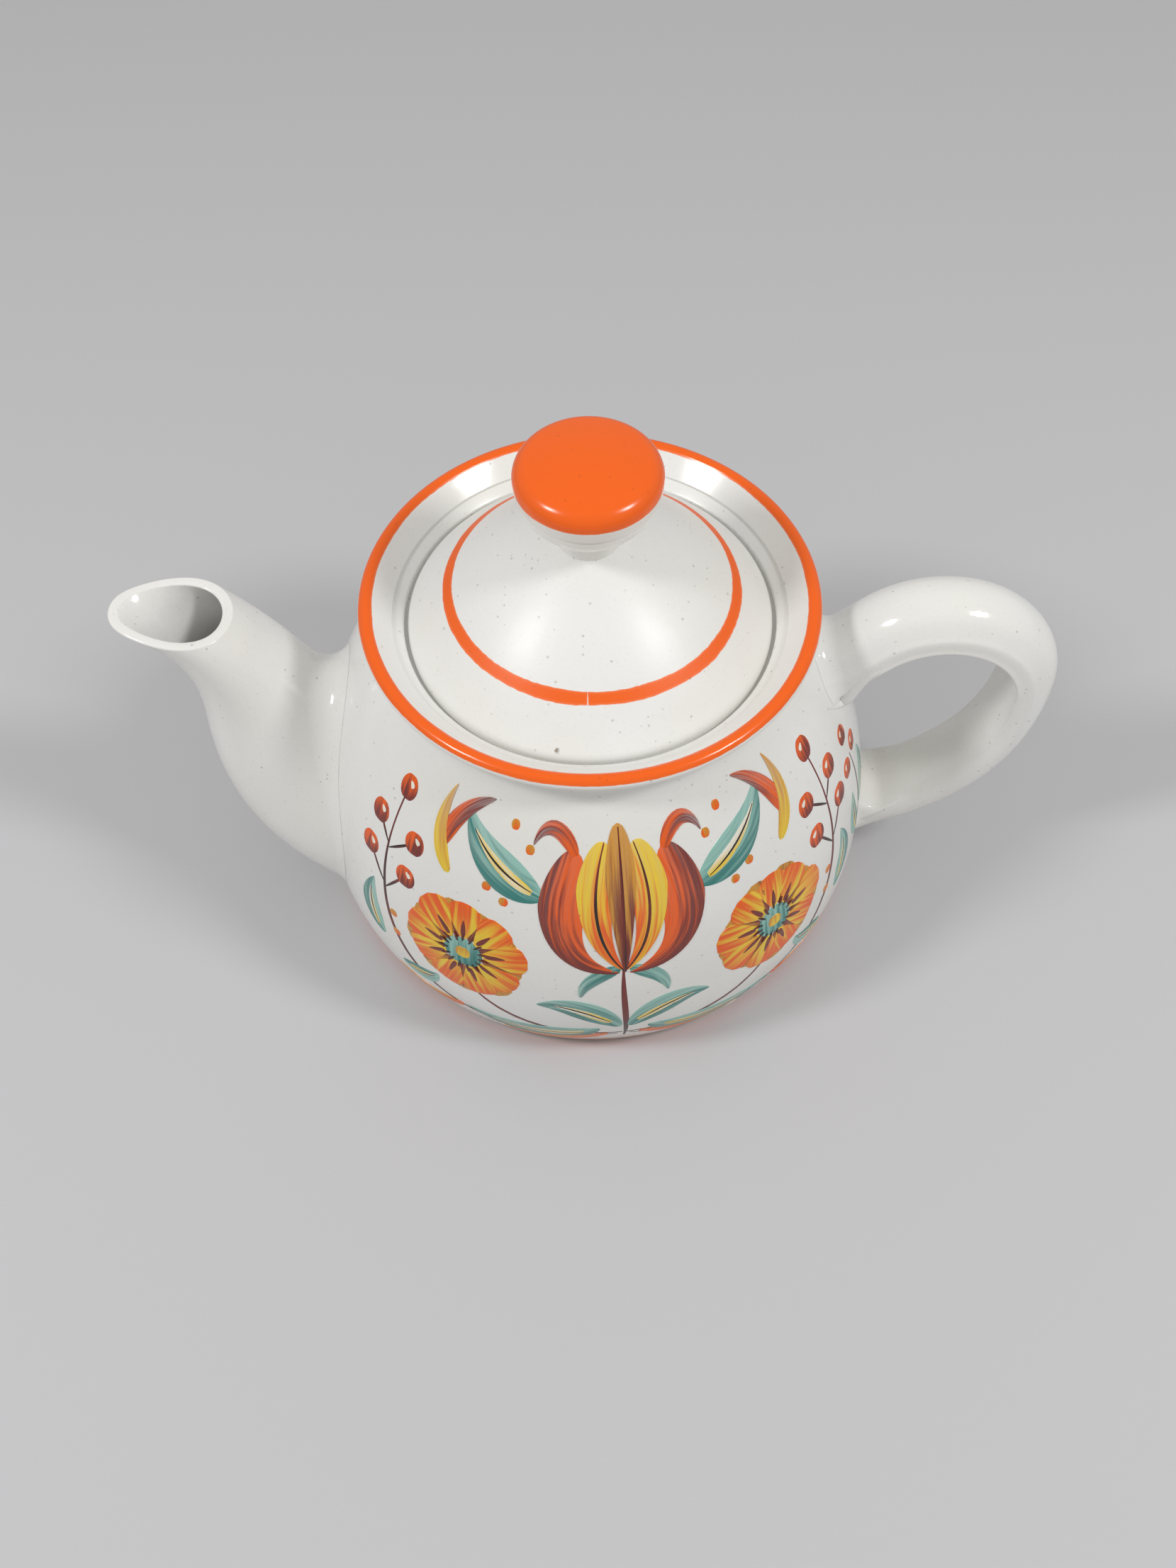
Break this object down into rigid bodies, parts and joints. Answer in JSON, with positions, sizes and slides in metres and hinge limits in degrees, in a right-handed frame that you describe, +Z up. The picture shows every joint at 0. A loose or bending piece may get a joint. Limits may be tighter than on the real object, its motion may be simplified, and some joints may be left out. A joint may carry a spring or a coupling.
{
  "type": "coffee pot",
  "caption": "Squat round ceramic coffee pot with a curved spout, a loop handle and a loose domed lid with a mushroom knob, for brewing and pouring.",
  "frame": {"origin": "centre of the foot ring, on the surface that the pot stands on", "axes": "+Z up along the pot's axis, the spout towards -X and the handle towards +X"},
  "size_m": [0.2305, 0.142, 0.146],
  "materials": {
    "white_glaze": "gloss",
    "orange_glaze": "gloss"
  },
  "bodies": {
    "pot": {"pot_body": "white_glaze", "spout": "white_glaze", "handle": "white_glaze"},
    "lid": {"lid": "white_glaze", "knob": "orange_glaze"}
  },
  "joints": [
    {"name": "lid_lift", "type": "slide", "parent": "pot", "child": "lid", "axis": [0, 0, 1], "range_m": [0, 0.08]}
  ]
}
